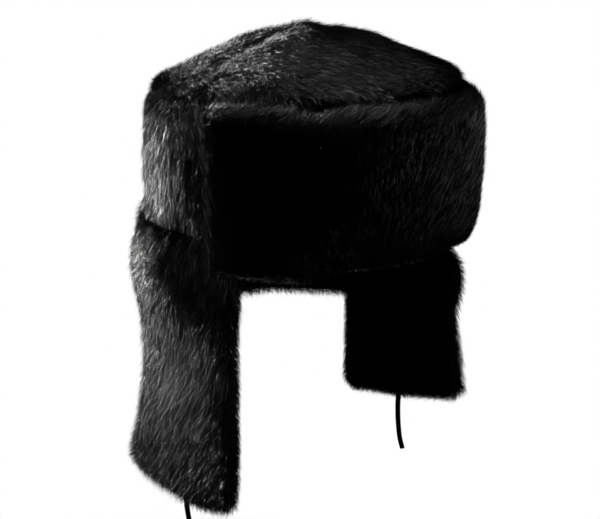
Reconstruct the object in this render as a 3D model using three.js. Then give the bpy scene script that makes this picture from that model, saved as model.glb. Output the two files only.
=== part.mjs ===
import * as THREE from 'three';

// A winter hat of black fur: a high crown with a four-part top, a front flap turned up
// against it, two long ear flaps joined by a nape flap, and a short tie under each ear flap.
// Millimetres, +Z up. The face looks to -Y and +X is the wearer's left. The origin is the
// middle of the head opening, level with the fold of the front flap over the brow.

// The head's oval, measured over the tips of the crown's fur
const HALF_WIDTH = 101;
const HALF_FRONT = 110;
const HALF_BACK = 104;

// Heights over the brow fold, and how much higher the crown stands in front than behind
const SEAM_HEIGHT = 20;
const SHOULDER_HEIGHT = 100;
const CROWN_LEAN = 6;

// The crown's wall draws in towards the shoulder. Over the seam it is tucked in beside the
// flap and stands full behind. INNER_TAPER is how much its inner face draws in as it rises.
const SHOULDER_ROUND = 4;
const SHOULDER_ROUND_HEIGHT = 80;
const SEAM_TUCK = -3;
const SEAM_FULLNESS = 2.5;
const SEAM_ZONE = 18;
const TUCK_ANGLE = 85;
const FULL_ANGLE = 112;
const INNER_TAPER = 4;

// Thickness of the backing with its pile, and the space between sewn pieces
const CROWN_WALL = 14;
const TOP_WALL = 13;
const SEAM_WALL = 9;
const EAR_WALL = 16;
const NAPE_WALL = 15;
const GAP = 0.3;

// Deepest hollow between two locks of fur, and how their tips vary from lock to lock
const LOCK_RELIEF = 4.5;
const LOCK_LEAST = 0.85;
const COLUMN_BEAT = 2.1;
const ROW_BEAT = 3.7;

// Columns of fur: round the crown's wall and top, and across each flap
const BAND_COLUMNS = 64;
const TOP_COLUMNS = 48;
const FLAP_COLUMNS = 26;
const EAR_COLUMNS = 12;
const NAPE_COLUMNS = 20;

// Rows of locks on each face
const BAND_ROWS = 4;
const TOP_ROWS = 4;
const FLAP_ROWS = 4;
const EAR_ROWS = 6;
const NAPE_ROWS = 3;

// One lock from its roots to its tip. A column runs down its middle or down its side,
// at is the place in the lock's row and lift is the share of the relief.
const LOCK_LINES = [
  { name: 'root', middleAt: -0.08, middleLift: 0.1, sideAt: 0.2, sideLift: 0.1 },
  { name: 'belly', middleAt: 0.5, middleLift: 0.75, sideAt: 0.5, sideLift: 0.4 },
  { name: 'tip', middleAt: 1.12, middleLift: 1, sideAt: 0.84, sideLift: 0.3 },
];

// The crown's top over its fur tips, from the shoulder to the apex
const TOP_PROFILE = [
  { place: 'shoulder', radius: 98, height: 100.2 },
  { place: 'round of the shoulder', radius: 94, height: 105 },
  { place: 'foot of the slope', radius: 86, height: 109.5 },
  { place: 'low slope', radius: 69, height: 118.5 },
  { place: 'middle slope', radius: 47, height: 128.5 },
  { place: 'high slope', radius: 25, height: 136.5 },
  { place: 'round of the apex', radius: 10, height: 140.5 },
  { place: 'apex', radius: 0, height: 141 },
];
const RIM_SHARE = 0.12;
const APEX_RADIUS = 45;

// The valley at each of the top's four seams, and the pillow of a wedge between two of them
const GORE_SEAM_DEPTH = 5;
const GORE_SEAM_WIDTH = 8;
const GORE_SEAM_START = 20;
const GORE_RIM_SHARE = 0.2;
const GORE_PILLOW = 2.5;

// The front flap: half of its spread round the head, in degrees, and its upright section.
// out is measured from the head's oval.
const FLAP_SPREAD_LOW = 67.5;
const FLAP_SPREAD_HIGH = 68.5;
const FOLD_SPREAD = 63.5;
const FLAP_TOP = 102;
const FLAP_BACK_OUT = -5;
const FLAP_FACE_OUT = 9.5;
const BROW_ARCH = 7;
const BROW_ARCH_ANGLES = [-42, -26];
const BROW_DROP = 2;
const BROW_ROUND = 5.5;
const BROW_ROUND_HEIGHT = 24;
const TOP_EDGE_ROUND = 2;
const TOP_EDGE_HEIGHT = 8;
const TOP_EDGE_DENT = 3;
const DENT_ANGLE = -36;
const DENT_WIDTH = 7;
const FLAP_CORNER_DROP = 9;
const FLAP_END_THINNING = 6;
const FLAP_END_SHARE = 0.045;
const FOLD_STEP = 3;

// Where the flap presses on the crown's wall and on the ear flap's upper corner: how far out
// the fur lies there, and the angles and depths under the fold over which it comes free
const PRESSED_OUT = -5.8;
const PRESSED_ANGLE = 73.2;
const WALL_FREE_ANGLE = 87;
const EAR_FREE_ANGLE = 100;
const PRESSED_DEPTH = 10;
const EAR_FREE_DEPTH = 30;

// The ear flaps' lower corners, where their upper edges begin and end on the oval, and the
// place of the tie from the front edge, 0, to the back, 1. EAR_CURVE is how far a flap bows
// out round the cheek. The wearer's right flap hangs a little longer and flares at the back,
// and the left one's front edge bows forwards by frontBow: it sets in under the front flap and
// fades between the last two shares of the length.
const EAR_FRONT_ANGLE = 65;
const EAR_BACK_ANGLE = 119.5;
const EAR_CORNER_ROUND = 13;
const EAR_BOTTOM_BOW = 3;
const EAR_CURVE = 5;
const EAR_EDGE_SHARE = 0.1;
const EAR_EDGE_THICKNESS = 0.4;
const EAR_INNER_RELIEF = 0.7;
const FLARE_START = 0.75;
const BOW_SETS_IN = [0.17, 0.27];
const BOW_FADES = [0.28, 0.5];
const EAR_FLAPS = [
  {
    name: 'ear_flap_right', side: -1, flare: 8, frontBow: 0, tieAt: 0.43,
    frontX: 108, frontY: -65, frontZ: -144, backX: 100, backY: 64, backZ: -160,
  },
  {
    name: 'ear_flap_left', side: 1, flare: 1, frontBow: 12, tieAt: 0.56,
    frontX: 106, frontY: -62, frontZ: -124, backX: 98, backY: 60, backZ: -152,
  },
];

// The nape flap's lower edge, and the height over which the ear flaps part from it
const NAPE_HALF_WIDTH = 103;
const NAPE_HALF_BACK = 116;
const NAPE_BOTTOM = -74;
const PARTING = 8;

// A flap hangs straight down from the seam, then moves out to its lower end between these
// shares of its length. The last lock ends this share of the way down.
const OUTWARD_SHARES = [0.1, 0.3];
const EAR_LAST_TIP = 0.97;
const NAPE_LAST_TIP = 0.95;

// Both flaps swell out below the seam, most at this height
const SWELL = 13;
const SWELL_HEIGHT = -6;
const SWELL_SPAN = 36;

// The ties are flat braids. Each row is one point under the flap's edge.
const TIE_WIDTH = 4.2;
const TIE_THICKNESS = 2.4;
const TIE_SIDES = 8;
const TIE_STEPS = 12;
const TIE_CLEARANCE = 0.75;
const TIE_ROUTES = {
  right: [
    { forward: 0, drop: 0 },
    { forward: 0.8, drop: 6 },
    { forward: 2.6, drop: 14 },
    { forward: 4.4, drop: 23 },
    { forward: 5.4, drop: 33 },
    { forward: 5.6, drop: 43.5 },
  ],
  left: [
    { forward: 0, drop: 0 },
    { forward: -0.4, drop: 8 },
    { forward: 0, drop: 17 },
    { forward: 1, drop: 26 },
    { forward: 2.8, drop: 35 },
    { forward: 6, drop: 42.5 },
  ],
};

const { degToRad, lerp, smoothstep } = THREE.MathUtils;

// 1 at the centre of a soft bump, falling to 0 on both sides
function bump(value, centre, width) {
  return Math.exp(-(((value - centre) / width) ** 2));
}

// A point over the head's oval: angle 0 is the forehead, 90 the wearer's left, 180 the nape.
// out widens the oval and keeps its proportions.
function overOval(angle, out, height) {
  const turn = degToRad(angle);
  const scale = 1 + out / HALF_WIDTH;
  const length = Math.cos(turn) > 0 ? HALF_FRONT : HALF_BACK;
  return new THREE.Vector3(scale * HALF_WIDTH * Math.sin(turn), -scale * length * Math.cos(turn), height);
}

// The same point on the crown, which leans forward as it rises
function onCrown(angle, out, height) {
  const point = overOval(angle, out, height);
  const rise = (height - SEAM_HEIGHT) / (SHOULDER_HEIGHT - SEAM_HEIGHT);
  point.z -= CROWN_LEAN * rise * point.y / HALF_FRONT;
  return point;
}

// The level direction that faces away from the head at an angle
function awayFromHead(angle) {
  const turn = degToRad(angle);
  const length = Math.cos(turn) > 0 ? HALF_FRONT : HALF_BACK;
  return new THREE.Vector3(Math.sin(turn) / HALF_WIDTH, -Math.cos(turn) / length, 0).normalize();
}

// 1 where the front flap presses the crown's wall flat, 0 clear of it
function pressedWall(angle) {
  return 1 - smoothstep(Math.abs(angle), PRESSED_ANGLE, WALL_FREE_ANGLE);
}

// 1 where the front flap holds the hanging flaps down, 0 beside and below it
function heldByFlap(angle, height) {
  const beside = smoothstep(Math.abs(angle), PRESSED_ANGLE, EAR_FREE_ANGLE);
  const below = smoothstep(-height, PRESSED_DEPTH, EAR_FREE_DEPTH);
  return (1 - beside) * (1 - below);
}

// The lines that cross one column of fur, from the first roots to the last tips.
// Locks lie staggered like roof tiles, so columns run in turn through middles and sides.
// The first roots lie on a straight seam, and sewn says that the last tips do too.
function lockLines(rows, column, sewn) {
  const lines = [];
  for (let row = 0; row < rows; row += 1) {
    const middle = (column + row) % 2 === 0;
    const uneven = lerp(LOCK_LEAST, 1, Math.sin(COLUMN_BEAT * column + ROW_BEAT * row));
    for (const line of LOCK_LINES) {
      const lift = middle ? line.middleLift * uneven : line.sideLift;
      let along = Math.min((row + (middle ? line.middleAt : line.sideAt)) / rows, 1);
      if (row === 0 && line.name === 'root') {
        along = 0;
      }
      if (sewn && row === rows - 1 && line.name === 'tip') {
        along = 1;
      }
      lines.push({ along, lift });
    }
  }
  return lines;
}

// Evenly spaced places from 0 to 1
function evenly(count) {
  return Array.from({ length: count + 1 }, (_, index) => index / count);
}

// Reverses the faces of a closed mesh that is inside out
function facingOut(positions, faces) {
  const corner = (index) => new THREE.Vector3().fromArray(positions, 3 * index);
  let volume = 0;
  for (const [a, b, c] of faces) {
    volume += corner(a).dot(corner(b).cross(corner(c)));
  }
  return volume > 0 ? faces : faces.map(([a, b, c]) => [a, c, b]);
}

function closedGeometry(points, faces) {
  const positions = points.flatMap((point) => point.toArray());
  const geometry = new THREE.BufferGeometry();
  geometry.setAttribute('position', new THREE.Float32BufferAttribute(positions, 3));
  geometry.setIndex(facingOut(positions, faces).flat());
  geometry.computeVertexNormals();
  return geometry;
}

// Joins equal rings of points side by side. loop closes the last ring to the first.
function ringFaces(ringCount, ringSize, loop, around) {
  const faces = [];
  const spans = loop ? ringCount : ringCount - 1;
  const steps = around ? ringSize : ringSize - 1;
  for (let ring = 0; ring < spans; ring += 1) {
    const next = (ring + 1) % ringCount;
    for (let step = 0; step < steps; step += 1) {
      const after = (step + 1) % ringSize;
      const near = [ring * ringSize + step, ring * ringSize + after];
      const far = [next * ringSize + step, next * ringSize + after];
      faces.push([near[0], far[0], far[1]], [near[0], far[1], near[1]]);
    }
  }
  return faces;
}

// A wall swept from its first section to its last, with an end face on each
function wallBetween(stations) {
  const size = stations[0].section.length;
  const points = stations.flatMap(({ section, place }) => section.map(place));
  const faces = ringFaces(stations.length, size, false, true);
  const endFaces = (station) => THREE.ShapeUtils.triangulateShape(
    station.section.map(({ depth, across }) => new THREE.Vector2(depth, across)), []);
  const last = size * (stations.length - 1);
  const turned = THREE.ShapeUtils.isClockWise(
    stations[0].section.map(({ depth, across }) => new THREE.Vector2(depth, across)));
  for (const [a, b, c] of endFaces(stations[0])) {
    faces.push(turned ? [a, c, b] : [a, b, c]);
  }
  for (const [a, b, c] of endFaces(stations[stations.length - 1])) {
    faces.push(turned ? [last + a, last + b, last + c] : [last + a, last + c, last + b]);
  }
  return closedGeometry(points, faces);
}

// The crown's upright wall: fur outside, combed down, and a smooth face towards the head
function crownBand() {
  const rings = [];
  for (let column = 0; column < BAND_COLUMNS; column += 1) {
    const angle = 360 * column / BAND_COLUMNS - 180;
    const outside = lockLines(BAND_ROWS, column, true).map(({ along, lift }) => {
      const height = lerp(SHOULDER_HEIGHT - GAP / 2, SEAM_HEIGHT, along);
      const shoulder = -SHOULDER_ROUND * smoothstep(height, SHOULDER_ROUND_HEIGHT, SHOULDER_HEIGHT);
      const overSeam = lerp(SEAM_TUCK, SEAM_FULLNESS, smoothstep(Math.abs(angle), TUCK_ANGLE, FULL_ANGLE));
      const nearSeam = 1 - smoothstep(height, SEAM_HEIGHT, SEAM_HEIGHT + SEAM_ZONE);
      const furred = shoulder + overSeam * nearSeam - LOCK_RELIEF * (1 - lift);
      const out = lerp(furred, PRESSED_OUT, pressedWall(angle));
      return onCrown(angle, out, height);
    });
    const inside = evenly(3).map((along) => {
      const height = lerp(SEAM_HEIGHT, SHOULDER_HEIGHT - GAP / 2, along);
      return onCrown(angle, -CROWN_WALL - INNER_TAPER * along ** 3, height);
    });
    rings.push([...outside, ...inside]);
  }
  return closedGeometry(rings.flat(), ringFaces(BAND_COLUMNS, rings[0].length, true, true));
}

// The crown's top: four wedges that meet at the apex, with a valley at each seam
function crownTop() {
  const curve = new THREE.SplineCurve(
    TOP_PROFILE.map(({ radius, height }) => new THREE.Vector2(radius, height)));
  const furPlace = (angle, along, depth) => {
    const point = curve.getPointAt(along);
    const tangent = curve.getTangentAt(along);
    const slope = smoothstep(along, 0, RIM_SHARE);
    const normal = new THREE.Vector2(1, 0).lerp(new THREE.Vector2(tangent.y, -tangent.x), slope).normalize();
    point.addScaledVector(normal, depth);
    return onCrown(angle, Math.max(point.x, 0) - HALF_WIDTH, point.y);
  };
  const backPlace = (angle, along, depth) => {
    const point = curve.getPointAt(along);
    const rim = TOP_PROFILE[0];
    const radius = point.x * (rim.radius - CROWN_WALL) / rim.radius;
    const apexHeight = TOP_PROFILE[TOP_PROFILE.length - 1].height;
    const height = rim.height + (point.y - rim.height) * (1 - TOP_WALL / (apexHeight - rim.height));
    return onCrown(angle, radius - HALF_WIDTH, height + depth);
  };
  const seamDepth = (angle, along) => {
    const radius = curve.getPointAt(along).x;
    const aside = radius * degToRad(Math.abs(((angle + 360) % 90) - 45) - 45);
    const inner = smoothstep(along, 0, GORE_RIM_SHARE);
    const pillow = GORE_PILLOW * Math.sin(degToRad(2 * angle)) ** 2 * (1 - along);
    const valley = GORE_SEAM_DEPTH * bump(aside, 0, GORE_SEAM_WIDTH) * smoothstep(radius, 0, GORE_SEAM_START);
    return inner * (pillow - valley);
  };
  const rings = [];
  for (let column = 0; column < TOP_COLUMNS; column += 1) {
    const angle = 360 * column / TOP_COLUMNS - 180;
    const outside = lockLines(TOP_ROWS, column, true).slice(1).map(({ along, lift }) => {
      const up = 1 - along;
      const relief = LOCK_RELIEF * smoothstep(curve.getPointAt(up).x, 0, APEX_RADIUS);
      return furPlace(angle, up, seamDepth(angle, up) - relief * (1 - lift));
    });
    const inside = evenly(5).slice(0, -1).map((along) =>
      backPlace(angle, along, 0.5 * seamDepth(angle, along)));
    rings.push([...outside, ...inside]);
  }
  const size = rings[0].length;
  const points = rings.flat();
  const faces = ringFaces(TOP_COLUMNS, size, true, false);
  const outerPole = points.push(furPlace(0, 1, 0)) - 1;
  const innerPole = points.push(backPlace(0, 1, 0)) - 1;
  for (let column = 0; column < TOP_COLUMNS; column += 1) {
    const here = column * size;
    const next = ((column + 1) % TOP_COLUMNS) * size;
    faces.push([outerPole, next, here], [innerPole, here + size - 1, next + size - 1]);
  }
  return closedGeometry(points, faces);
}

// The front flap: turned up against the crown, and folded in under the crown's edge
function frontFlap() {
  const foldAt = FOLD_SPREAD / FLAP_SPREAD_LOW;
  const middles = evenly(FLAP_COLUMNS - 2).map((along) => foldAt * (2 * along - 1));
  const ends = [0.008, 0.05].map((beyond) => foldAt + beyond);
  const places = [-1, -ends[1], -ends[0], ...middles, ends[0], ends[1], 1];
  const stations = places.map((spread, column) => {
    const edge = smoothstep(1 - Math.abs(spread), 0, FLAP_END_SHARE);
    const folded = Math.abs(spread) <= foldAt + 0.001;
    const angleAt = (height) => {
      const low = spread * FLAP_SPREAD_LOW;
      return lerp(low, spread * FLAP_SPREAD_HIGH, smoothstep(height, 0, FLAP_TOP));
    };
    const angle = angleAt(0);
    const bottom = BROW_ARCH * smoothstep(-Math.abs(angle), ...BROW_ARCH_ANGLES) - BROW_DROP;
    const dent = TOP_EDGE_DENT * bump(angle, DENT_ANGLE, DENT_WIDTH);
    const top = FLAP_TOP - dent - FLAP_CORNER_DROP * (1 - edge) ** 2;
    const face = lerp(FLAP_FACE_OUT - FLAP_END_THINNING, FLAP_FACE_OUT, edge);
    const reach = folded ? -CROWN_WALL : FLAP_BACK_OUT;
    const foldTop = folded ? SEAM_HEIGHT - GAP : SEAM_HEIGHT - FOLD_STEP;
    const under = [
      { depth: FLAP_BACK_OUT, across: top - 5 },
      { depth: FLAP_BACK_OUT, across: 56 },
      { depth: FLAP_BACK_OUT, across: SEAM_HEIGHT - GAP },
      { depth: reach, across: foldTop },
      { depth: reach, across: bottom + 5 },
      { depth: lerp(reach, FLAP_BACK_OUT, 0.4), across: bottom + 1 },
      { depth: -1, across: bottom },
    ];
    const outside = lockLines(FLAP_ROWS, column, false).map(({ along, lift }) => {
      const height = lerp(bottom + 3, top - 3, along);
      const low = BROW_ROUND * (1 - smoothstep(height - bottom, 0, BROW_ROUND_HEIGHT));
      const high = TOP_EDGE_ROUND * smoothstep(height, top - TOP_EDGE_HEIGHT, top);
      return { depth: face - low - high - LOCK_RELIEF * edge * (1 - lift), across: height };
    });
    const section = [...under, ...outside, { depth: 1, across: top }];
    return { section, place: ({ depth, across }) => overOval(angleAt(across), depth, across) };
  });
  return wallBetween(stations);
}

// How far a hanging flap swells away from the head at a height
function swellAt(angle, height) {
  const freely = 1 - heldByFlap(angle, height);
  return SWELL * freely * bump(height, SWELL_HEIGHT, SWELL_SPAN);
}

// A column of a hanging flap: straight down from the seam, then towards its lower end
function hangingPlace(angle, lowEnd) {
  const seam = overOval(angle, PRESSED_OUT, SEAM_HEIGHT - GAP);
  const away = awayFromHead(angle);
  return ({ depth, across }) => {
    const point = seam.clone().lerp(lowEnd, smoothstep(across, ...OUTWARD_SHARES) * across);
    point.z = lerp(seam.z, lowEnd.z, across);
    return point.addScaledVector(away, swellAt(angle, point.z) + depth);
  };
}

// The point of an ear flap's lower edge at a place from its front, 0, to its back, 1
function earLowEnd(flap, place) {
  const x = lerp(flap.frontX, flap.backX, place) + EAR_CURVE * 4 * place * (1 - place);
  const y = lerp(flap.frontY, flap.backY, place);
  const width = flap.backY - flap.frontY;
  const inward = Math.min(place, 1 - place) * width;
  const missing = Math.max(EAR_CORNER_ROUND - inward, 0);
  const round = EAR_CORNER_ROUND - Math.sqrt(EAR_CORNER_ROUND ** 2 - missing ** 2);
  const bow = EAR_BOTTOM_BOW * 4 * place * (1 - place);
  return new THREE.Vector3(x, y, lerp(flap.frontZ, flap.backZ, place) + round - bow);
}

// An ear flap, furred on both faces, combed down
function earFlap(flap) {
  const edges = [0.03, 0.09];
  const places = [0, ...edges, ...evenly(EAR_COLUMNS).slice(2, -2), 1 - edges[1], 1 - edges[0], 1];
  const stations = places.map((place, column) => {
    const angle = lerp(EAR_FRONT_ANGLE, EAR_BACK_ANGLE, place);
    const lowEnd = earLowEnd(flap, place);
    const hang = hangingPlace(angle, lowEnd);
    const soft = (across) => {
      const height = lerp(SEAM_HEIGHT, lowEnd.z, across);
      const joined = place > 0.5 ? smoothstep(height, NAPE_BOTTOM, NAPE_BOTTOM + PARTING) : 0;
      const inward = smoothstep(Math.min(place, 1 - place), 0, EAR_EDGE_SHARE);
      return lerp(lerp(EAR_EDGE_THICKNESS, 1, inward), 1, joined);
    };
    const wall = (across) => lerp(SEAM_WALL, EAR_WALL, smoothstep(across, 0, 0.25));
    const atDepth = (across, share) => {
      const middle = -0.5 * wall(across);
      return { depth: middle + (share - 0.5) * wall(across) * soft(across), across };
    };
    const relief = LOCK_RELIEF / EAR_WALL;
    const outside = lockLines(EAR_ROWS, column, false).map(({ along, lift }) =>
      atDepth(EAR_LAST_TIP * along, 1 - relief * (1 - lift) * soft(along)));
    const inside = lockLines(EAR_ROWS, column + 1, false).map(({ along, lift }) =>
      atDepth(EAR_LAST_TIP * along, EAR_INNER_RELIEF * relief * (1 - lift) * soft(along)));
    const section = [...outside, atDepth(1, 0.5), ...inside.reverse()];
    const placed = (point) => {
      const out = hang(point);
      const flare = flap.flare * place ** 3 * smoothstep(point.across, FLARE_START, 1);
      const bowed = smoothstep(point.across, ...BOW_SETS_IN) * (1 - smoothstep(point.across, ...BOW_FADES));
      const bow = flap.frontBow * bowed * (1 - place) ** 3;
      return new THREE.Vector3(flap.side * out.x, out.y + flare - bow, out.z);
    };
    return { section, place: placed };
  });
  return wallBetween(stations);
}

// The nape flap closes the back between the two ear flaps
function napeFlap() {
  const stations = evenly(NAPE_COLUMNS).map((place, column) => {
    const side = place < 0.5 ? 1 : -1;
    const inward = 1 - Math.abs(2 * place - 1);
    const flap = EAR_FLAPS.find((row) => row.side === side);
    const edgeEnd = new THREE.Vector3(flap.backX, flap.backY, flap.backZ + EAR_CORNER_ROUND);
    const edge = hangingPlace(EAR_BACK_ANGLE, edgeEnd);
    const edgeShare = (SEAM_HEIGHT - NAPE_BOTTOM) / (SEAM_HEIGHT - edgeEnd.z);
    const corner = edge({ depth: 0, across: edgeShare });
    corner.addScaledVector(awayFromHead(EAR_BACK_ANGLE), -swellAt(EAR_BACK_ANGLE, NAPE_BOTTOM));
    const cornerTurn = Math.acos(-corner.y / NAPE_HALF_BACK);
    const turn = lerp(cornerTurn, Math.PI, inward);
    const round = new THREE.Vector3(
      NAPE_HALF_WIDTH * Math.sin(turn), -NAPE_HALF_BACK * Math.cos(turn), NAPE_BOTTOM);
    const lowEnd = corner.clone().lerp(round, smoothstep(inward, 0, 0.2));
    const angle = lerp(EAR_BACK_ANGLE, 180, inward);
    const hang = hangingPlace(angle, lowEnd);
    const wall = (across) => lerp(SEAM_WALL, NAPE_WALL, smoothstep(across, 0, 0.5));
    const outside = lockLines(NAPE_ROWS, column, false).map(({ along, lift }) =>
      ({ depth: -LOCK_RELIEF * (1 - lift) * smoothstep(inward, 0, 0.05), across: NAPE_LAST_TIP * along }));
    const inside = evenly(4).map((along) =>
      ({ depth: -wall(1 - along), across: NAPE_LAST_TIP * (1 - along) }));
    const section = [...outside, { depth: -0.5 * wall(1), across: 1 }, ...inside];
    const seamShift = inward === 0 ? GAP : 0;
    const placed = (point) => {
      const out = hang(point);
      return new THREE.Vector3(side * out.x, out.y + seamShift, out.z);
    };
    return { section, place: placed };
  });
  return wallBetween(stations);
}

// A flat braid that hangs from an ear flap's lower edge
function tie(flap, rows) {
  const angle = lerp(EAR_FRONT_ANGLE, EAR_BACK_ANGLE, flap.tieAt);
  const place = hangingPlace(angle, earLowEnd(flap, flap.tieAt));
  const exit = place({ depth: -0.5 * EAR_WALL, across: 1 });
  exit.x *= flap.side;
  exit.z -= TIE_CLEARANCE;
  const route = new THREE.CatmullRomCurve3(
    rows.map(({ forward, drop }) => new THREE.Vector3(exit.x, exit.y - forward, exit.z - drop)));
  const outline = new THREE.Shape(
    evenly(TIE_SIDES).slice(0, -1).map((share) => new THREE.Vector2(
      0.5 * TIE_THICKNESS * Math.cos(2 * Math.PI * share),
      0.5 * TIE_WIDTH * Math.sin(2 * Math.PI * share))));
  return new THREE.ExtrudeGeometry(outline, { steps: TIE_STEPS, extrudePath: route, bevelEnabled: false });
}

const FUR = { color: 0x121214, roughness: 0.95, metalness: 0 };
const BRAID = { color: 0x0d0d0e, roughness: 0.85, metalness: 0 };

function piece(name, geometry, look) {
  const mesh = new THREE.Mesh(geometry, new THREE.MeshStandardMaterial(look));
  mesh.name = name;
  return mesh;
}

const hat = new THREE.Group();
hat.add(piece('crown_band', crownBand(), FUR));
hat.add(piece('crown_top', crownTop(), FUR));
hat.add(piece('front_flap', frontFlap(), FUR));
for (const flap of EAR_FLAPS) {
  const sideName = flap.side < 0 ? 'right' : 'left';
  hat.add(piece(flap.name, earFlap(flap), FUR));
  hat.add(piece(`tie_${sideName}`, tie(flap, TIE_ROUTES[sideName]), BRAID));
}
hat.add(piece('nape_flap', napeFlap(), FUR));

export default hat;
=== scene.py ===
# %% [markdown]
# A black fur hat with its ear flaps down
#
# Fur is thousands of thin hairs over a skin. Blender can grow hair particles, but the export and
# the other views need plain meshes, so each hair here is a narrow blade of one or two faces, and
# all the blades of one piece are one mesh made from arrays. Under them lies the backing, a closed
# soft wall that has the piece's form. The frame from the CAD model fixes where everything sits.

# %% The frame and the tools
import math

import bmesh
import bpy
import numpy as np
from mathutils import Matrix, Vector


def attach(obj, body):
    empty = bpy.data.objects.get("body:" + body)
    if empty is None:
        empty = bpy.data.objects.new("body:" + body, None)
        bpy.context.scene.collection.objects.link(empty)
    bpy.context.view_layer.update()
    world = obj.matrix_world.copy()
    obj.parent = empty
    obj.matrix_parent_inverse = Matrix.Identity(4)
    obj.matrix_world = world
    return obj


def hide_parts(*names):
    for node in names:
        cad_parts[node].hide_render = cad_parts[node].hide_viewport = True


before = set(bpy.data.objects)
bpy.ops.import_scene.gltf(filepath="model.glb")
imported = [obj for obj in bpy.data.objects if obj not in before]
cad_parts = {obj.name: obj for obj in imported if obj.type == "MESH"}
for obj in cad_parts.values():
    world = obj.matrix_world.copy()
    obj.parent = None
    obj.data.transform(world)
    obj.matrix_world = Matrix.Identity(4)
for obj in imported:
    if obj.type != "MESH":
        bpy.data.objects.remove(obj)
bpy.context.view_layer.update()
MM = 0.001
print("CAD nodes:", sorted(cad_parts))

# %% [markdown]
# The camera stands in front of the wearer's right cheek, a little above the brow. Its angles and
# distance make two things agree with the photo at once: how much the far ear flap shrinks
# against the near one, and how far the front flap's ends show on both sides.

# %% The camera
CAMERA_AZIMUTH = -38.7
CAMERA_ELEVATION = 17.35
CAMERA_DISTANCE = 0.7317
CAMERA_LENS = 66.34
CAMERA_SENSOR = 36
LOOK_ASIDE = -0.0008
LOOK_HEIGHT = -0.0161


def direction(azimuth, elevation):
    """A unit step: azimuth 0 is straight ahead of the wearer, 90 the left ear, and elevation is upwards."""
    turn, rise = math.radians(azimuth), math.radians(elevation)
    return Vector((math.sin(turn) * math.cos(rise), -math.cos(turn) * math.cos(rise), math.sin(rise)))


across_view = direction(CAMERA_AZIMUTH + 90, 0)
towards_camera = direction(CAMERA_AZIMUTH, CAMERA_ELEVATION)
look_at = LOOK_ASIDE * across_view + Vector((0, 0, LOOK_HEIGHT))

camera_data = bpy.data.cameras.new("camera")
camera_data.lens = CAMERA_LENS
camera_data.sensor_width = CAMERA_SENSOR
camera = bpy.data.objects.new("camera", camera_data)
camera.location = look_at + CAMERA_DISTANCE * towards_camera
camera.rotation_euler = towards_camera.to_track_quat("Z", "Y").to_euler()
bpy.context.collection.objects.link(camera)
bpy.context.scene.camera = camera
print("camera at", [round(x, 3) for x in camera.location])

# %% [markdown]
# The hat's own sizes, in millimetres as a hatter would note them. They are the CAD source's: an
# oval for the head, a seam where the flaps hang, and the lower corners of each ear flap.

# %% Sizes of the hat
HALF_WIDTH, HALF_FRONT, HALF_BACK = 101, 110, 104
SEAM_HEIGHT, SHOULDER_HEIGHT, CROWN_LEAN = 20, 100, 6
CROWN_WALL, TOP_WALL, SEAM_WALL, EAR_WALL, NAPE_WALL = 14, 13, 9, 16, 15
GAP = 0.3

EAR_FRONT_ANGLE, EAR_BACK_ANGLE = 65, 119.5
EAR_CORNER_ROUND, EAR_BOTTOM_BOW, EAR_CURVE = 13, 3, 5
EAR_FLAPS = {
    # side, front corner, back corner, flare at the back, bow of the front edge, place of the tie
    "right": (-1, (108, -65, -144), (100, 64, -160), 8, 0, 0.43),
    "left": (1, (106, -62, -124), (98, 60, -152), 1, 9, 0.56),
}
NAPE_HALF_WIDTH, NAPE_HALF_BACK, NAPE_BOTTOM = 103, 116, -74
PRESSED_OUT, PRESSED_ANGLE = -5.8, 73.2
SWELL, SWELL_HEIGHT, SWELL_SPAN = 13, -6, 36
HELD_ANGLE, HELD_DROP = 100, 62
STRAIGHT_TO, TURNED_FROM = 0.1, 0.3
opening = math.pi * (HALF_WIDTH + (HALF_FRONT + HALF_BACK) / 2 - 2 * CROWN_WALL)
print("head opening round the inside:", round(opening), "mm")

# %% [markdown]
# Every surface is built from a few level formulas: a point over the head's oval, the crown's
# lean, the way that points off the head, and how the turned-up flap holds the ear flaps down.
# A named pair of values says where a change starts and where it is complete.

# %% Formulas that the pieces share
def smooth(value, low, high):
    """0 below low, 1 above high, and an S-curve 3t^2 - 2t^3 between."""
    t = np.clip((value - low) / (high - low), 0, 1)
    return t * t * (3 - 2 * t)


def mix(a, b, share):
    """a + (b - a) times share."""
    return a + (b - a) * share


def bump(value, centre, width):
    """A bell, exp of minus the squared distance in widths."""
    return np.exp(-(((value - centre) / width) ** 2))


def quarter_round(share):
    """0 at 0 and 1 from 1 on, up a quarter of a circle, sqrt(1 - (1 - t)^2)."""
    return np.sqrt(1 - (1 - np.clip(share, 0, 1)) ** 2)


def points(x, y, z):
    """Three arrays, spread to one shape, as an array of points."""
    return np.stack(np.broadcast_arrays(x, y, z), -1).astype(float)


def unit(vectors):
    """Vectors divided by their lengths."""
    return vectors / np.maximum(np.linalg.norm(vectors, axis=-1, keepdims=True), 1e-9)


def over_oval(angle, out, height):
    """x = s W sin a and y = -s L cos a. Angle 0 is the forehead, and s = 1 + out / W widens the oval."""
    turn = np.radians(angle)
    scale = 1 + out / HALF_WIDTH
    length = np.where(np.cos(turn) > 0, HALF_FRONT, HALF_BACK)
    return points(scale * HALF_WIDTH * np.sin(turn), -scale * length * np.cos(turn), height)


def on_crown(angle, out, height):
    """A point over the oval, lifted in front and lowered behind in step with its height."""
    place = over_oval(angle, out, height)
    rise = (place[..., 2] - SEAM_HEIGHT) / (SHOULDER_HEIGHT - SEAM_HEIGHT)
    place[..., 2] -= CROWN_LEAN * rise * place[..., 1] / HALF_FRONT
    return place


def away_from_head(angle):
    """The oval's level normal, (sin a / W, -cos a / L) made one long."""
    turn = np.radians(angle)
    length = np.where(np.cos(turn) > 0, HALF_FRONT, HALF_BACK)
    return unit(points(np.sin(turn) / HALF_WIDTH, -np.cos(turn) / length, 0))


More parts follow.
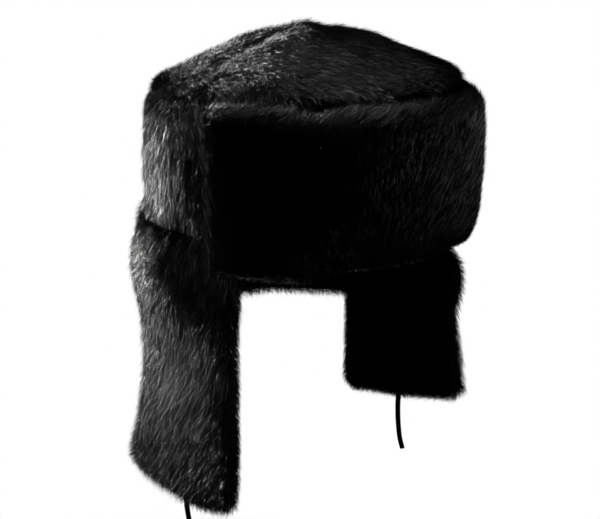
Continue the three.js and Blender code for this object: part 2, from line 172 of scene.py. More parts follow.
def swell_at(angle, height):
    """How far a hanging flap swells off the head: a bell over its height, flat by the front flap."""
    held = (1 - smooth(np.abs(angle), PRESSED_ANGLE, HELD_ANGLE)) * (1 - smooth(-height, 0, HELD_DROP))
    return SWELL * (1 - held) * bump(height, SWELL_HEIGHT, SWELL_SPAN)


def hanging(angle, low_end, across, depth):
    """Straight down from the seam and then towards low_end, plus the swell and depth along the normal."""
    seam = over_oval(angle, PRESSED_OUT, SEAM_HEIGHT - GAP)
    place = mix(seam, low_end, (smooth(across, STRAIGHT_TO, TURNED_FROM) * across)[..., None])
    place[..., 2] = mix(seam[..., 2], low_end[..., 2], across)
    return place + away_from_head(angle) * (swell_at(angle, place[..., 2]) + depth)[..., None]


print("seam point at the right ear:", over_oval(np.array(-90.0), PRESSED_OUT, SEAM_HEIGHT).round(1))

# %% [markdown]
# An ear flap is a sheet between its seam and its lower edge, and the nape flap closes the back
# between the two. Both are a function of a place across the flap and a place down it.

# %% The sheets of the hanging flaps
FLARE_FROM = 0.75
BOW_FROM, BOW_FULL, BOW_TO = 0.17, 0.3, 0.65
NAPE_EASE = 0.2


def ear_low_end(flap, place):
    """From corner to corner: round corners, a slight bow down, and one outwards round the cheek."""
    front, back = np.array(flap[1], float), np.array(flap[2], float)
    end = mix(front, back, place[..., None])
    inward = np.minimum(place, 1 - place) * (back[1] - front[1])
    end[..., 2] += EAR_CORNER_ROUND * (1 - quarter_round(inward / EAR_CORNER_ROUND))
    end[..., 2] -= EAR_BOTTOM_BOW * 4 * place * (1 - place)
    end[..., 0] += EAR_CURVE * 4 * place * (1 - place)
    return end


def ear_place(flap, place, across, depth):
    """A point of an ear flap: place from its front edge to its back, across from the seam downwards."""
    place, across, depth = np.broadcast_arrays(place, across, depth)
    side, flare, front_bow = flap[0], flap[3], flap[4]
    angle = mix(EAR_FRONT_ANGLE, EAR_BACK_ANGLE, place)
    spot = hanging(angle, ear_low_end(flap, place), across, depth)
    spot[..., 1] += flare * place**3 * smooth(across, FLARE_FROM, 1)
    bowed = smooth(across, BOW_FROM, BOW_FULL) * (1 - smooth(across, BOW_FULL, BOW_TO))
    spot[..., 1] -= front_bow * bowed * (1 - place) ** 3
    spot[..., 0] *= side
    return spot


def nape_place(round_back, across, depth):
    """A point of the nape flap: round_back from the left ear flap, -1, past the middle, to the right, 1."""
    round_back, across, depth = np.broadcast_arrays(round_back, across, depth)
    inward = 1 - np.abs(round_back)
    side = np.where(round_back < 0, 1, -1)
    corners = []
    for flap in (EAR_FLAPS["left"], EAR_FLAPS["right"]):
        end = np.array(flap[2], float) + (0, 0, EAR_CORNER_ROUND)
        share = np.array((SEAM_HEIGHT - NAPE_BOTTOM) / (SEAM_HEIGHT - end[2]))
        corner = hanging(np.array(EAR_BACK_ANGLE), end, share, np.array(0.0))
        corners.append(corner - away_from_head(EAR_BACK_ANGLE) * swell_at(EAR_BACK_ANGLE, NAPE_BOTTOM))
    corner = np.where((round_back < 0)[..., None], corners[0], corners[1])
    turn = mix(np.arccos(-corner[..., 1] / NAPE_HALF_BACK), np.pi, inward)
    low_end = points(NAPE_HALF_WIDTH * np.sin(turn), -NAPE_HALF_BACK * np.cos(turn), NAPE_BOTTOM)
    low_end = mix(corner, low_end, smooth(inward, 0, NAPE_EASE)[..., None])
    spot = hanging(mix(EAR_BACK_ANGLE, 180, inward), low_end, across, depth)
    spot[..., 0] *= side
    return spot


for name, flap in EAR_FLAPS.items():
    print(name, "lower edge's middle:", ear_low_end(flap, np.array(0.5)).round(1))

# %% [markdown]
# Meshes come from arrays. A wall is a ring of points at each station, joined side by side, and
# its ends are pinched shut. foreach_set hands whole arrays to Blender at once.

# %% From arrays to meshes
MERGED_WITHIN = 0.02
BARE_BELOW = 0.05
THINNEST = 0.02


def piece_from(name, vertices, corners, sizes):
    """A mesh object from points in millimetres, the corners of the faces and how many each face has."""
    mesh = bpy.data.meshes.new(name)
    mesh.vertices.add(len(vertices))
    mesh.vertices.foreach_set("co", (np.asarray(vertices) * MM).astype(np.float32).ravel())
    mesh.loops.add(len(corners))
    mesh.loops.foreach_set("vertex_index", np.asarray(corners, np.int32))
    mesh.polygons.add(len(sizes))
    starts = np.concatenate([[0], np.cumsum(sizes)[:-1]])
    mesh.polygons.foreach_set("loop_start", starts.astype(np.int32))
    mesh.update(calc_edges=True)
    mesh.polygons.foreach_set("use_smooth", np.ones(len(sizes), bool))
    obj = bpy.data.objects.new(name, mesh)
    bpy.context.collection.objects.link(obj)
    return obj


def wall_from(name, rings, closed):
    """Joins rings[station, step] round each ring, and the last station to the first where closed."""
    stations, steps = rings.shape[:2]
    here = np.arange(stations * steps).reshape(stations, steps)
    after = np.roll(here, -1, 0) if closed else here[1:]
    here = here if closed else here[:-1]
    quads = np.stack([here, np.roll(here, -1, 1), np.roll(after, -1, 1), after], -1).reshape(-1, 4)
    obj = piece_from(name, rings.reshape(-1, 3), quads.ravel(), np.full(len(quads), 4))
    shell = bmesh.new()
    shell.from_mesh(obj.data)
    bmesh.ops.remove_doubles(shell, verts=shell.verts, dist=MERGED_WITHIN * MM)
    bmesh.ops.recalc_face_normals(shell, faces=shell.faces)
    shell.to_mesh(obj.data)
    shell.free()
    return obj


def wall_normals(rings, pile, closed):
    """The cross product of the steps round a ring and from ring to ring.

    A furred point beside a bare one leaves that one out, so hair at a border keeps to its face.
    Points times normals, summed over a closed wall, give three times its volume, so a sum under
    zero says that the normals point inwards, and they are turned round.
    """
    furry = pile > BARE_BELOW
    steps = []
    for way in (1, -1):
        border = furry & ~np.roll(furry, way, 1)
        steps.append(np.where(border[..., None], rings, np.roll(rings, way, 1)))
    around = steps[1] - steps[0]
    if closed:
        between = np.roll(rings, -1, 0) - np.roll(rings, 1, 0)
    else:
        between = np.gradient(rings, axis=0)
    normal = np.cross(around, between)
    return unit(-normal if (rings * normal).sum() < 0 else normal)


def along_loop(table, steps):
    """Divides each row's way to the next, round a closed loop table[station, row, column], into steps."""
    rows = table.shape[1]
    at = np.concatenate([row + np.arange(count) / count for row, count in zip(range(rows), steps)])
    first = at.astype(int) % rows
    share = (at - at.astype(int))[None, :, None]
    return table[:, first] * (1 - share) + table[:, (first + 1) % rows] * share


def softened(loops, times):
    """Rounds the corners of closed loops: each point becomes half itself and a quarter of each neighbour."""
    for _ in range(times):
        loops = loops / 2 + (np.roll(loops, 1, 1) + np.roll(loops, -1, 1)) / 4
    return loops


def spline(table, t):
    """A uniform Catmull-Rom curve through the rows of table, for t from 0 to 1."""
    spans = len(table) - 1
    at = np.clip(t, 0, 1) * spans
    first = np.minimum(at.astype(int), spans - 1)
    s = (at - first)[..., None]
    before, here = table[np.maximum(first - 1, 0)], table[first]
    there, after = table[first + 1], table[np.minimum(first + 2, spans)]
    return 0.5 * (
        2 * here + (there - before) * s
        + (2 * before - 5 * here + 4 * there - after) * s**2
        + (3 * here - before - 3 * there + after) * s**3
    )


# %% [markdown]
# Two flat braids hang from the ear flaps' lower ends. They come first, because their length is a
# fact of the hat. Each is an oval section carried along its route, and the strands of the braid
# are a herringbone of slanted ridges on it. The top of each is lost in the fur.

# %% The ties
TIE_WIDTH, TIE_THICKNESS, TIE_CLEARANCE = 4.2, 2.4, 0.75
TIE_FULLNESS = 1.15
TIE_LEAD = 6.5
TIE_END = 0.5
TIE_RINGS, TIE_AROUND, ROUTE_POINTS = 180, 28, 26
STRAND, STRAND_DEPTH = 2.4, 0.1
TIE_ROUTES = {
    # forward, drop below the ear flap's lower end
    "right": np.array([(0, 0), (0.8, 6), (2.6, 14), (4.4, 23), (5.4, 33), (5.6, 43.5)], float),
    "left": np.array([(0, 0), (-0.4, 8), (0, 17), (1, 26), (2.8, 35), (6, 42.5)], float),
}


def tie_path(name):
    """Points of a smooth route from inside the fur of the lower end down to the tie's free end."""
    flap = EAR_FLAPS[name]
    place = np.array(flap[5])
    angle = mix(EAR_FRONT_ANGLE, EAR_BACK_ANGLE, place)
    out = hanging(angle, ear_low_end(flap, place), np.array(1.0), np.array(-EAR_WALL / 2))
    out = out * (flap[0], 1, 1) - (0, 0, TIE_CLEARANCE)
    route = spline(TIE_ROUTES[name], np.linspace(0, 1, ROUTE_POINTS))
    below = out + points(0, -route[:, 0], -route[:, 1])
    return np.concatenate([[out + (0, 0, TIE_LEAD)], below])


def tie(name):
    """Rings of a flat oval along the route, with a ridge where s / strand + |sin v| / 2 is whole."""
    path = tie_path(name)
    route = spline(path, np.linspace(0, 1, TIE_RINGS))
    ahead = unit(np.gradient(route, axis=0))
    thin_way = np.tile(np.array([1.0, 0, 0]), (TIE_RINGS, 1))
    wide_way = np.cross(ahead, thin_way)
    turn = np.linspace(0, 2 * np.pi, TIE_AROUND, endpoint=False)
    run = np.concatenate([[0], np.cumsum(np.linalg.norm(np.diff(route, axis=0), axis=1))])[:, None]
    ridge = 0.5 + 0.5 * np.cos(2 * np.pi * (run / STRAND + 0.5 * np.abs(np.sin(turn))))
    size = 1 - STRAND_DEPTH * (1 - ridge) * np.cos(turn) ** 2
    size = size * quarter_round(np.minimum(run, run[-1] - run) / TIE_END).clip(0.001)
    rings = route[:, None] + (
        (TIE_THICKNESS / 2 * np.cos(turn) * size)[..., None] * thin_way[:, None]
        + (TIE_WIDTH / 2 * np.sin(turn) * size)[..., None] * wide_way[:, None]) * TIE_FULLNESS
    obj = wall_from(f"tie_{name}_braid", rings, False)
    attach(obj, "root")
    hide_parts(f"tie_{name}")
    return obj


ties = [tie("right"), tie("left")]

# %% [markdown]
# Chance has to be smooth in places: fur parts into swirls and tufts a few millimetres wide, and
# its backing is never quite even. A lattice of random numbers, blended from corner to corner,
# gives the same value every run at the same place, so neighbouring pieces agree at a seam.

# %% Smooth chance
LATTICE = 24


def noise(place, size, seed):
    """From -1 to 1: a lattice of random numbers, blended over cells of this size."""
    lattice = np.random.default_rng(seed).uniform(-1, 1, (LATTICE, LATTICE, LATTICE))
    cell = np.asarray(place) / size
    corner = np.floor(cell).astype(int)
    share = cell - corner
    share = share * share * (3 - 2 * share)
    total = 0
    for step in np.ndindex(2, 2, 2):
        weight = np.prod(np.where(step, share, 1 - share), axis=-1)
        at = (corner + step) % LATTICE
        total = total + weight * lattice[at[..., 0], at[..., 1], at[..., 2]]
    return total


def wave(place, kind):
    """Smooth chance of a kind: how much, over what size, and its seed."""
    amount, size, seed = kind
    return amount * noise(place, size, seed)


print("noise at the brow:", round(float(noise(np.array([0.0, -110, 0]), 27, 20)), 3))

# %% [markdown]
# The pile. A hair leaves the backing steeply and bends over the way the fur is combed, so its
# place after a share t of its length is root + L (sin q c (0.3 t + 0.7 t^2) + cos q n (1.5 t -
# 0.5 t^2)), with n the normal, c the combing direction and q the lean. Hairs gather into small
# locks: every tip is drawn towards the middle of the cell that its root stands in. Two coats make
# real fur dense: a short thick undercoat, and longer guard hairs that catch the light. A blade is
# turned by chance about its own line, so that many together shade as round hairs do.

# %% Hairs as blades
UNDERCOAT = dict(shares=(0.0, 1.0), length=7.0, width=0.42, spread=0.36, part=0.7)
GUARD = dict(shares=(0.0, 0.5, 1.0), length=8.6, width=0.3, spread=0.24, part=0.3)
LOCK_SIZE, LOCK_PULL = 2.0, 0.4
LOCK_WANDER, WANDER_SIZE = 1.5, 6
# each with how much, over how many millimetres, and its seed
SWIRL, EDDY = (0.3, 26, 1), (0.22, 9, 2)
RUFFLE, UNEVEN, DYE = (9, 12, 3), (0.12, 18, 4), (0.12, 8, 8)
LEAN_SPREAD, ROLL_MOST = 7, 1.3
LENGTHS, WIDTHS, TIP_THINNING = (0.75, 1.1), (0.75, 1.25), 0.75
LYING_LONGER, LYING_ANGLES = 0.35, (45, 75)
MEAN_TONE, LOCK_TONE, HAIR_TONE = 0.45, 0.16, 0.26
MAP_WIDTH = 0.006


def roots_on(rings, normals, pile, closed, count, rng):
    """Spreads roots evenly by area over the furred cells: each is drawn by the running total of area."""
    stations = rings.shape[0] if closed else rings.shape[0] - 1
    a, b = np.roll(rings, -1, 0), np.roll(rings, -1, 1)
    area = np.linalg.norm(np.cross(a - rings, b - rings), axis=-1)[:stations]
    least = np.minimum(pile, np.minimum(np.roll(pile, -1, 0), np.roll(pile, -1, 1)))[:stations]
    total = np.cumsum((area * (least > BARE_BELOW)).ravel())
    drawn = np.searchsorted(total, (np.arange(count) + rng.random(count)) / count * total[-1])
    station, step = np.divmod(drawn.clip(0, len(total) - 1), rings.shape[1])
    u, v = rng.random((2, count, 1))

    def at(values):
        """Values at the roots, mixed between the four corners of the cell."""
        next_station, next_step = (station + 1) % len(values), (step + 1) % values.shape[1]
        near = mix(values[station, step], values[station, next_step], v)
        far = mix(values[next_station, step], values[next_station, next_step], v)
        return mix(near, far, u)

    return at(rings), unit(at(normals)), at(pile[..., None])[:, 0]


def combed(coat, root, n, comb, lean, rng):
    """Each hair's way over the surface and its lean: the comb's and the lean's, varied by chance."""
    c = comb(root)
    c = unit(c - n * (c * n).sum(1, keepdims=True))
    turn = wave(root, SWIRL) + wave(root, EDDY) + rng.normal(0, coat["spread"], len(root))
    c = c * np.cos(turn)[:, None] + np.cross(n, c) * np.sin(turn)[:, None]
    tilt = np.radians(lean(root) + wave(root, RUFFLE) + rng.normal(0, LEAN_SPREAD, len(root)))
    return c, tilt[:, None]


def gathered(root, tips, n):
    """Each hair's lock, a cell of space, and its tip's pull over the surface to the middle of the lock's."""
    wander = np.stack([noise(root, WANDER_SIZE, seed) for seed in (5, 6, 7)], -1)
    cell = np.floor((root + LOCK_WANDER * wander) / LOCK_SIZE).astype(int)
    lock = np.unique(cell, axis=0, return_inverse=True)[1].ravel()
    members = np.bincount(lock)
    centre = np.stack([np.bincount(lock, tips[:, axis]) / members for axis in range(3)], -1)[lock]
    pull = LOCK_PULL * (centre - tips)
    return lock, pull - n * (pull * n).sum(1, keepdims=True)


def coat_of(coat, root, n, grown, comb, lean, rng):
    """The corners of each blade: two on either side of the hair's line at each share, and one at its tip."""
    count = len(root)
    c, tilt = combed(coat, root, n, comb, lean, rng)
    length = coat["length"] * grown * (1 + wave(root, UNEVEN)) * rng.uniform(*LENGTHS, count)
    length = (length * (1 + LYING_LONGER * smooth(np.degrees(tilt[:, 0]), *LYING_ANGLES)))[:, None]
    line = np.sin(tilt) * c + np.cos(tilt) * n
    lock, pull = gathered(root, root + length * line, n)
    roll = rng.uniform(-ROLL_MOST, ROLL_MOST, count)[:, None]
    flat_way = np.cross(c, n)
    side = flat_way * np.cos(roll) + np.cross(line, flat_way) * np.sin(roll)
    width = coat["width"] * rng.uniform(*WIDTHS, count)[:, None]
    rows = []
    for t in coat["shares"]:
        bent = np.sin(tilt) * c * (0.3 * t + 0.7 * t**2) + np.cos(tilt) * n * (1.5 * t - 0.5 * t**2)
        middle = root + length * bent + pull * t**2
        half = side * width * (0.5 * (1 - TIP_THINNING * t**2))
        rows += [middle] if t == 1 else [middle - half, middle + half]
    return np.stack(rows, 1), lock


def toned(coat, root, lock, rng, seed):
    """The map of each blade's corners: across it the hair's tone, in part its lock's, and up it the share."""
    of_lock = np.random.default_rng(seed + 9).normal(0, LOCK_TONE, lock.max() + 1)[lock]
    tone = MEAN_TONE + wave(root, DYE) + of_lock + rng.normal(0, HAIR_TONE, len(root))
    pairs = len(coat["shares"]) - 1
    edge = np.array([0.0, 1.0] * pairs + [0.5]) * MAP_WIDTH - MAP_WIDTH / 2
    shares = np.repeat(coat["shares"][:-1], 2).tolist() + [1.0]
    return points(tone.clip(0.02, 0.98)[:, None] + edge, np.array(shares), 0)[..., :2]


def blades(name, roots, normals, pile, comb, lean, seed):
    """One mesh of hairs. comb gives the way and lean the angle off the normal, in degrees, for points."""
    rng = np.random.default_rng(seed)
    order = rng.permutation(len(roots))
    vertices, corners, sizes, maps = [], [], [], []
    start, first_vertex = 0, 0
    for coat in (UNDERCOAT, GUARD):
        chosen = order[start:start + int(coat["part"] * len(roots))]
        start += len(chosen)
        block, lock = coat_of(coat, roots[chosen], normals[chosen], pile[chosen], comb, lean, rng)
        count, per_blade = block.shape[:2]
        pattern = [[k, k + 1, k + 3, k + 2] for k in range(0, per_blade - 3, 2)]
        pattern.append([per_blade - 3, per_blade - 2, per_blade - 1])
        flat = np.concatenate(pattern)
        base = first_vertex + per_blade * np.arange(count)[:, None]
        vertices.append(block.reshape(-1, 3))
        corners.append((base + flat).ravel())
        sizes.append(np.tile([len(face) for face in pattern], count))
        maps.append(toned(coat, roots[chosen], lock, rng, seed)[:, flat].reshape(-1, 2))
        first_vertex += per_blade * count
    obj = piece_from(name, np.concatenate(vertices), np.concatenate(corners), np.concatenate(sizes))
    layer = obj.data.uv_layers.new(name="OFBake")
    layer.uv.foreach_set("vector", np.concatenate(maps).astype(np.float32).ravel())
    print(f"{name}: {len(roots)} hairs, {int((np.concatenate(sizes) - 2).sum())} triangles")
    return obj


# %% [markdown]
# Every furred piece is made the same way: the backing gets gentle hills and hollows, the hairs
# grow on it, and both together stand for the CAD solid of that name.

# %% A furred piece
PILE_HEIGHT = 4.6
RELIEF = (1.1, 27, 20)
backings, piles = [], []


def furred(name, rings, pile, closed, count, comb, lean, seed):
    """A backing wall and the pile that grows on it."""
    normals = wall_normals(rings, pile, closed)
    rings = rings + normals * (pile * wave(rings, RELIEF))[..., None]
    backing = wall_from(f"{name}_backing", rings, closed)
    spots = roots_on(rings, normals, pile, closed, count, np.random.default_rng(seed))
    hairs = blades(f"{name}_pile", *spots, comb, lean, seed)
    for obj in (backing, hairs):
        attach(obj, "root")
        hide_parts(name)
    backings.append(backing)
    piles.append(hairs)


# %% [markdown]
# The crown's wall. Its hair is combed down. Behind the turned-up flap it is pressed flat and
# bare, because nothing of it shows there, and beside the flap's ends it is a little longer and
# fills the hollow.

# %% The crown's wall
WALL_STATIONS = 150
COVERED_ANGLES, COVERED_HEIGHTS = (62, 68), (90, 97)
UNPRESSED_ANGLE = 97
SEAM_INSET, SEAM_BULGE, SEAM_ANGLES, SEAM_REACH = -3, 2.5, (85, 112), (20, 38)
WALL_INSET, INNER_TAPER = 1.3, 4
SHOULDER_INSET, SHOULDER_REACH = 6, (84, 106)
END_TUFT, TUFT_ANGLE, TUFT_SPAN = 0.12, 75, 9


def crown_wall():
    """A ring at each angle: down the outside, a pile's height under the tips, and up the smooth inside."""
    angle = np.linspace(-180, 180, WALL_STATIONS, endpoint=False)[:, None]
    aside = np.abs(angle)
    top = SHOULDER_HEIGHT - GAP / 2
    down = np.array([top, 98, 95, 90, 82, 70, 58, 45, 34, 26, SEAM_HEIGHT])[None]
    up = np.array([SEAM_HEIGHT, 46, 72, 90, top])[None]
    at_seam = mix(SEAM_INSET, SEAM_BULGE, smooth(aside, *SEAM_ANGLES)) * (1 - smooth(down, *SEAM_REACH))
    pressed = 1 - smooth(aside, PRESSED_ANGLE, UNPRESSED_ANGLE)
    tips = mix(at_seam - WALL_INSET, PRESSED_OUT, pressed) - SHOULDER_INSET * smooth(down, *SHOULDER_REACH)
    covered = (1 - smooth(aside, *COVERED_ANGLES)) * (1 - smooth(down, *COVERED_HEIGHTS))
    out = tips - PILE_HEIGHT * (1 - covered)
    risen = (up - SEAM_HEIGHT) / (SHOULDER_HEIGHT - SEAM_HEIGHT)
    inner = -CROWN_WALL - INNER_TAPER * risen**3 + 0 * angle
    tuft = 1 + END_TUFT * bump(aside, TUFT_ANGLE, TUFT_SPAN)
    loop = np.stack(np.broadcast_arrays(
        np.concatenate([out, inner], 1),
        np.concatenate([down, up], 1),
        np.concatenate([(1 - covered) * tuft, 0 * inner], 1),
        angle,
    ), -1)
    outside = down.shape[1] - 1
    loop = along_loop(loop, [2] * outside + [3] * (loop.shape[1] - outside))
    bare = np.arange(loop.shape[1]) > 2 * outside
    return on_crown(loop[..., 3], loop[..., 0], loop[..., 1]), np.where(bare, 0, loop[..., 2])


# %% How the wall's hair lies
HANG_LEAN = 56
PARTING, PARTING_HEIGHTS, PARTING_RISE = (10, 75), (86, 99), 12
BESIDE_SLANT, BESIDE_FLAP, BACKWARDS = 0.36, (-10, 22), 0.9
FORWARDS, FORWARDS_MORE, UPPER_WALL, FRONT_PART = 0.2, 0.6, (55, 100), (-20, 40)


def behind(place):
    """0 on the front half of the crown and 1 on the back, where the top's hair and the wall's part."""
    return smooth(place[:, 1], *PARTING)


def wall_comb(place):
    """Down and a little forwards, more so near the top, but backwards beside the front flap's ends."""
    beside_flap = 1 - smooth(place[:, 1] + BESIDE_SLANT * np.abs(place[:, 0]), *BESIDE_FLAP)
    upper_front = smooth(place[:, 2], *UPPER_WALL) * (1 - smooth(place[:, 1], *FRONT_PART))
    return points(0, BACKWARDS * beside_flap - (FORWARDS + FORWARDS_MORE * upper_front), -1)


def wall_lean(place):
    """Hair lies along the wall, and stands up a little where it parts from the top's behind."""
    return HANG_LEAN - PARTING_RISE * smooth(place[:, 2], *PARTING_HEIGHTS) * behind(place)


furred("crown_band", *crown_wall(), closed=True, count=90000, comb=wall_comb, lean=wall_lean, seed=11)

# %% [markdown]
# The crown's top is cut from four wedges. Their seams draw the fur into soft valleys that meet
# at the apex. Its pile lies the flattest. It is brushed forwards over the top, and down over the
# shoulder on the front half.

# %% The crown's top
TOP_PROFILE = np.array([
    # radius, height
    (95, 100.2), (93.2, 103.8), (89.2, 107.6), (83, 111.3), (69, 118.5), (47, 128.5), (25, 136.5),
    (10, 140.5), (0, 141),
])
SEAM_VALLEY, VALLEY_WIDTH, PILLOW = 3.6, 13, 2.5
APEX_RADIUS, RIM_EASE, LEVEL_EASE = 20, 0.2, 0.12
RIM_SHARE, RIM_ROWS, CAP_ROWS = 0.3, 12, 30
RIM_PILE, RIM_PILE_TO = 0.85, 0.15


def wedge_depth(angle, along, radius):
    """Sine pillows between the seams, one at each 90 degrees, and a bell-shaped valley along each seam."""
    aside = radius * np.radians(np.abs((angle + 405) % 90 - 45))
    pillow = PILLOW * np.sin(np.radians(2 * angle)) ** 2 * (1 - along)
    valley = SEAM_VALLEY * bump(aside, 0, VALLEY_WIDTH) * smooth(radius, 0, APEX_RADIUS)
    return smooth(along, 0, RIM_EASE) * (pillow - valley)


def crown_cap():
    """From the inner apex out to the rim, and over the outside back to the apex, at each angle."""
    angle = np.linspace(-180, 180, WALL_STATIONS, endpoint=False)[:, None]
    rim_part = np.linspace(0, RIM_SHARE, RIM_ROWS, endpoint=False)
    along = np.concatenate([rim_part, np.linspace(RIM_SHARE, 1, CAP_ROWS)])
    curve = spline(TOP_PROFILE, along)
    slope = np.gradient(curve, axis=0)
    normal = unit(np.stack([slope[:, 1], -slope[:, 0]], -1))
    normal = unit(mix(normal, np.array([1.0, 0.0]), 1 - smooth(along, 0, LEVEL_EASE)[:, None]))
    depth = wedge_depth(angle, along, curve[:, 0]) - PILE_HEIGHT
    out_radius = np.maximum(curve[:, 0] + normal[:, 0] * depth, 0)
    out_radius[:, -1] = 0
    out_height = curve[:, 1] + normal[:, 1] * depth
    rim = TOP_PROFILE[0]
    inner = curve[::-4]
    in_radius = inner[:, 0] * (rim[0] - CROWN_WALL) / rim[0] + 0 * angle
    squash = 1 - TOP_WALL / (TOP_PROFILE[-1, 1] - rim[1])
    in_height = rim[1] + (inner[:, 1] - rim[1]) * squash + 0 * angle
    radius = np.concatenate([in_radius, out_radius], 1)
    height = np.concatenate([in_height, out_height], 1)
    grown = mix(RIM_PILE, 1, smooth(along, 0, RIM_PILE_TO)) + 0 * out_radius
    return on_crown(angle, radius - HALF_WIDTH, height), np.concatenate([0 * in_radius, grown], 1)


# %% How the top's hair lies
OUTWARDS, OUTWARDS_MORE, OUTER_RADII, OUTWARD_DROP = 0.25, 0.45, (55, 95), -0.6
OVER_EDGE, EDGE_RADII = 0.9, (80, 92)
BEHIND_LESS = 0.8
TOP_LEAN, SHOULDER_LEAN, LEAN_RADII, PARTING_RADII = 72, 66, (74, 90), (82, 95)


def top_comb(place):
    """Forwards, and mostly on the front half also outwards, down the slope and over the edge."""
    outward = unit(place * (1, 1, 0))
    radius = np.linalg.norm(place[:, :2], axis=1)[:, None]
    outward[:, 2] = OUTWARD_DROP
    over_edge = points(0, 0, -1) * OVER_EDGE * smooth(radius, *EDGE_RADII)
    before = 1 - BEHIND_LESS * behind(place)[:, None]
    outwards = OUTWARDS + OUTWARDS_MORE * smooth(radius, *OUTER_RADII)
    return np.array([0, -1.0, 0]) + before * (outwards * outward + over_edge)


def top_lean(place):
    """The pile lies flat over the top, and stands up a little at the shoulder and more where it parts."""
    radius = np.linalg.norm(place[:, :2], axis=1)
    standing = PARTING_RISE * smooth(radius, *PARTING_RADII) * behind(place)
    return mix(TOP_LEAN, SHOULDER_LEAN, smooth(radius, *LEAN_RADII)) - standing


furred("crown_top", *crown_cap(), closed=True, count=112000, comb=top_comb, lean=top_lean, seed=23)

# %% [markdown]
# The front flap is turned up, so its hair, which would hang if the flap were down, points up.
# Its lower end is folded in under the crown's edge, and that fold is the brow line.

# %% The front flap
FLAP_SPREAD_LOW, FLAP_SPREAD_HIGH, FOLD_SPREAD = 72, 73, 63.5
FLAP_TOP, FLAP_BACK_OUT, FLAP_FACE_OUT = 102, -5, 9.5
BROW_ARCH, ARCH_ANGLES, BROW_DROP = 7, (-42, -26), 2
TOP_EDGE_DENT, DENT_ANGLE, DENT_SPAN = 3, -36, 7
FOLD_PILE, TOP_PILE = 3.4, 2.5
BROW_DEPTH, BROW_ROUND = 5.5, 24
RIM_ROUND, RIM_DEPTH = 13, 9
END_STEPS = np.array([0, 0.1, 0.4, 0.9, 1.6, 2.5, 3.6, 4.8, 6.0]) / 66
END_SHARES, END_DROP, END_OUT, FLAP_STATIONS = 11, 9, -1.5, 104
MIDDLE_PART = 0.9


def front_wall():
    """One closed section at each place of the spread: down the back, round the fold, and up the face."""
    between = np.linspace(-MIDDLE_PART, MIDDLE_PART, FLAP_STATIONS)
    spread = np.concatenate([-1 + END_STEPS, between, (1 - END_STEPS)[::-1]])[:, None]
    low = spread * FLAP_SPREAD_LOW
    edge = quarter_round((1 - np.abs(spread)) * END_SHARES)
    bottom = BROW_ARCH * smooth(-np.abs(low), *ARCH_ANGLES) - BROW_DROP + FOLD_PILE
    dent = TOP_EDGE_DENT * bump(low, DENT_ANGLE, DENT_SPAN)
    top = FLAP_TOP - dent - TOP_PILE - END_DROP * (1 - edge) ** 2
    folded = smooth(-np.abs(low), -FOLD_SPREAD + 1, -FOLD_SPREAD + 1.6)
    reach = mix(FLAP_BACK_OUT, -CROWN_WALL, folded)
    fold_top = mix(SEAM_HEIGHT - 3, SEAM_HEIGHT - GAP, folded)
    none = 0 * spread

    def face(height):
        """The face under its pile: it draws in at the brow, and at the rim by a quarter of an oval."""
        at_brow = BROW_DEPTH * (1 - smooth(height - bottom, 0, BROW_ROUND))
        at_rim = RIM_DEPTH * (1 - quarter_round((top - height) / RIM_ROUND))
        return FLAP_FACE_OUT - at_brow - at_rim - PILE_HEIGHT

    rows = [
        # out, height, pile
        (none + FLAP_BACK_OUT, top - 3, none),
        (none + FLAP_BACK_OUT, none + 60, none),
        (none + FLAP_BACK_OUT, none + SEAM_HEIGHT - GAP, none),
        (reach, fold_top, none),
        (reach, bottom + 4, none + 0.2),
        (mix(reach, FLAP_BACK_OUT, 0.4), bottom + 1, none + 0.4),
        (none - 4, bottom, none + 0.5),
        (face(bottom + 4), bottom + 4, none + 0.7),
        (face(bottom + 14), bottom + 14, none + 1),
        (face(bottom + 26), bottom + 26, none + 1),
        (face(none + 60), none + 60, none + 1),
        (face(top - 12), top - 12, none + 1),
        (face(top - 6), top - 6, none + 1),
        (face(top - 2.6), top - 2.6, none + 1),
        (face(top - 0.8), top - 0.8, none + 1),
        (none + FLAP_BACK_OUT + 0.6, top - 0.2, none + 1),
    ]
    table = np.stack([np.concatenate(column, 1) for column in zip(*rows)], -1)
    loop = softened(along_loop(table, [5, 5, 2, 2, 2, 2, 2, 3, 3, 6, 6, 3, 3, 2, 2, 2]), 2)
    loop[..., 0] = mix(END_OUT, loop[..., 0], np.maximum(edge, THINNEST))
    share = smooth(loop[..., 1], 0, FLAP_TOP)
    angle = spread * mix(FLAP_SPREAD_LOW, FLAP_SPREAD_HIGH, share)
    return over_oval(angle, loop[..., 0], loop[..., 1]), loop[..., 2]


# %% How the front flap's hair lies
FLAP_ENDS, FLAP_RIM, UPPER_FACE, UPPER_END = (61, 66), (82, 95), (86, 98), (80, 98)
RIM_LESS_UP, PRESSED_IN, ALONG_RIM = 0.75, 0.5, 0.8
FACE_LEAN, RIM_FLATTER, ENDS_FLATTER = 58, 12, 20


def brow_angle(place):
    """Degrees round the oval from the forehead, the arc tangent of x and -y W / L."""
    return np.degrees(np.arctan2(place[:, 0], -place[:, 1] * HALF_WIDTH / HALF_FRONT))


def at_ends(place):
    """0 along the front flap and 1 at its two ends."""
    return smooth(np.abs(brow_angle(place)), *FLAP_ENDS)


def flap_comb(place):
    """Up and pressed inwards, and at the rim also along it towards the wearer's left."""
    turn = np.radians(brow_angle(place))
    along = points(np.cos(turn), np.sin(turn), 0)
    inward = -points(np.sin(turn), -np.cos(turn), 0)
    rim = smooth(place[:, 2], *FLAP_RIM)[:, None]
    upwards = points(0, 0, 1) * (1 - RIM_LESS_UP * rim)
    return upwards + PRESSED_IN * (1 - at_ends(place))[:, None] * inward + ALONG_RIM * rim * along


